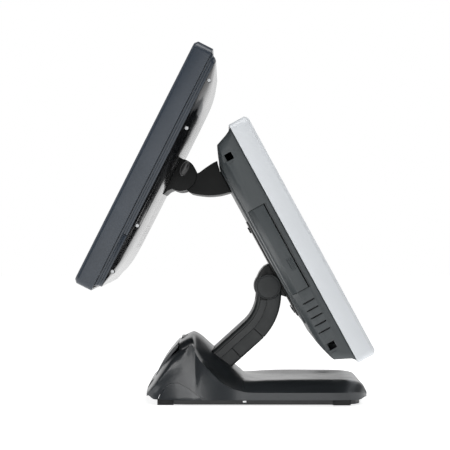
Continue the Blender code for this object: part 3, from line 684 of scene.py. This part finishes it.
def make_base():
    hollow = loft([base_section(station, 3.0) for station in smooth_line(BASE_STATIONS[2:-2], 2)])
    strip = [neck_point(length, 14.6) for length in range(70, 171, 4)]
    strip += [neck_point(length, -14.6) for length in range(170, 69, -4)]
    neck_hole = prism_x(strip, -42.6, 42.6)
    rear_opening = box((-66.4, 66.4), (52.1, 100), (5, 68))
    tab_hole = box((-22.5, 22.5), (42.8, 49.9), (66, 80))
    cover = thing("base_shell", base_shell(), WORLD)
    for hole in (hollow, neck_hole, rear_opening, tab_hole):
        combine(cover, [hole], solver="MANIFOLD")
    arch = smooth_line(SIDE_ARCH, 5)
    middle = (48.0, 12.0)
    for name, side in (("left", -1), ("right", 1)):
        grown = [tuple(m + (p - m) * 1.022 for m, p in zip(middle, point)) for point in arch]
        grown = [(y, z if z > 7 else -5) for y, z in grown]
        combine(cover, [prism_x(grown, *sorted((85 * side, 130 * side)))], solver="MANIFOLD")
        panel = thing(f"arch_panel_{name}", prism_x(arch, *sorted((93 * side, 120 * side))), WORLD)
        combine(panel, [base_shell()], "INTERSECT", solver="MANIFOLD")
        piece(panel, "base", "base_plastic", [f"side_panel_{name}"], bevel=0.5, segments=3)
    piece(cover, "base", "base_plastic", ["base_cover"], bevel=0.6, segments=3)

    outer = smooth_line([(52.5, 67.2), (62, 56.5), (70, 45.5), (77, 32.5)], 6) + [(78, 28.5)]
    outer += smooth_line([(82.3, 25), (87, 16.5), (86, 10), (77, 6.6)], 6)
    inner = [(74, 6.6), (83, 11.5), (83.6, 16), (79, 23), (74.5, 28), (73.6, 32), (66.5, 44.6)]
    inner += [(59, 54.5), (52.5, 62.5)]
    rear = thing("cable_cover_shell", prism_x(outer + inner, -66, 66), WORLD)
    piece(rear, "cable_cover", "base_plastic", ["rear_cable_cover"], bevel=0.6, segments=3)

    tab = thing("release_tab_ridged", box((-22, 22), (43.2, 49.5), (69, 71.3)), WORLD)
    for ridge in range(4):
        y = 43.7 + 1.5 * ridge
        combine(tab, [box((-19, 19), (y, y + 0.7), (71, 72.8))], "UNION")
    piece(tab, "base", "base_plastic", ["cover_release_tab"], bevel=0.2)


make_base()


# --- CAD nodes that keep their shape --------------------------------------------------------------------


def dress_cad_nodes():
    slots = {row["node"]: row["material_slot"] for row in frame["record"]["subparts"]}
    for name, node in frame["nodes"].items():
        node.data.materials.clear()
        node.data.materials.append(LOOKS[slots[name]])
        node.data.shade_smooth()
        node.data.set_sharp_from_angle(angle=SHARP_ANGLE)
        edges = node.modifiers.new("soft_edges", "BEVEL")
        edges.width = 0.3 * MM
        edges.segments = 2
        edges.limit_method = "ANGLE"
        edges.angle_limit = SHARP_ANGLE
        edges.use_clamp_overlap = True


dress_cad_nodes()


# --- camera, lights and floor ---------------------------------------------------------------------------

DIM_ABOVE = 0.25  # how bright it is overhead, beside 1 at the horizon
DIM_SIDE = 0.13  # how bright the studio is towards -X, beside 1 towards +X
FLOOR_GLOW = 0.78  # keeps the floor as white as the backdrop


def make_floor():
    mesh = bmesh.new()
    bmesh.ops.create_circle(mesh, cap_ends=True, segments=96, radius=6.0)
    floor = thing("floor", mesh, Matrix.Translation((0, 0, -0.0002)))
    look = Look("floor_white", 0.9, specular=0.0)
    look.color(look.ramp(look.noise(2.0), [(0.3, (0.92, 0.92, 0.92)), (0.7, (0.93, 0.93, 0.93))]))
    look.shader.inputs["Emission Color"].default_value = (1, 1, 1, 1)
    look.shader.inputs["Emission Strength"].default_value = FLOOR_GLOW
    floor.data.materials.append(look.material)


def area_light(name, place, target, size, power):
    data = bpy.data.lights.new(name, "AREA")
    data.shape = "RECTANGLE"
    data.size, data.size_y = size
    data.energy = power
    made = bpy.data.objects.new(name, data)
    bpy.context.scene.collection.objects.link(made)
    made.location = place
    made.rotation_euler = (Vector(target) - Vector(place)).to_track_quat("-Z", "Y").to_euler()


def make_studio():
    world = bpy.data.worlds.new("studio")
    bpy.context.scene.world = world
    world.use_nodes = True
    tree = world.node_tree
    background = tree.nodes["Background"]
    direction = tree.nodes.new("ShaderNodeTexCoord").outputs["Generated"]
    parts = tree.nodes.new("ShaderNodeSeparateXYZ")
    tree.links.new(direction, parts.inputs["Vector"])
    sweep = tree.nodes.new("ShaderNodeMapRange")
    sweep.interpolation_type = "SMOOTHSTEP"
    for name, value in (("From Min", -0.35), ("From Max", 0.30), ("To Min", DIM_SIDE), ("To Max", 1.0)):
        sweep.inputs[name].default_value = value
    tree.links.new(parts.outputs["X"], sweep.inputs["Value"])
    height = tree.nodes.new("ShaderNodeMapRange")
    height.interpolation_type = "SMOOTHSTEP"
    for name, value in (("From Min", 0.30), ("From Max", 0.75), ("To Min", 1.0), ("To Max", DIM_ABOVE)):
        height.inputs[name].default_value = value
    tree.links.new(parts.outputs["Z"], height.inputs["Value"])
    around = tree.nodes.new("ShaderNodeMath")
    around.operation = "MULTIPLY"
    tree.links.new(sweep.outputs["Result"], around.inputs[0])
    tree.links.new(height.outputs["Result"], around.inputs[1])
    seen = tree.nodes.new("ShaderNodeLightPath").outputs["Is Camera Ray"]
    strength = tree.nodes.new("ShaderNodeMix")
    strength.data_type = "FLOAT"
    tree.links.new(seen, strength.inputs["Factor"])
    tree.links.new(around.outputs["Value"], strength.inputs["A"])
    strength.inputs["B"].default_value = 1.0
    background.inputs["Color"].default_value = (1, 1, 1, 1)
    tree.links.new(strength.outputs["Result"], background.inputs["Strength"])
    area_light("top_soft_box", (-0.55, 0.1, 1.5), (0, 0, 0.1), (1.7, 0.8), 20)
    area_light("side_soft_box", (-2.9, 0.5, 0.5), (0, 0, 0.15), (2.4, 1.0), 14)


def make_camera():
    data = bpy.data.cameras.new("camera")
    data.lens = 173.4
    data.sensor_width = 36.0
    camera = bpy.data.objects.new("camera", data)
    bpy.context.scene.collection.objects.link(camera)
    camera.location = (-2.5, 0.0, 0.1995)
    camera.rotation_euler = (math.radians(90), 0, math.radians(-90))
    bpy.context.scene.camera = camera


make_floor()
make_studio()
make_camera()
bpy.context.scene.view_settings.view_transform = "Standard"
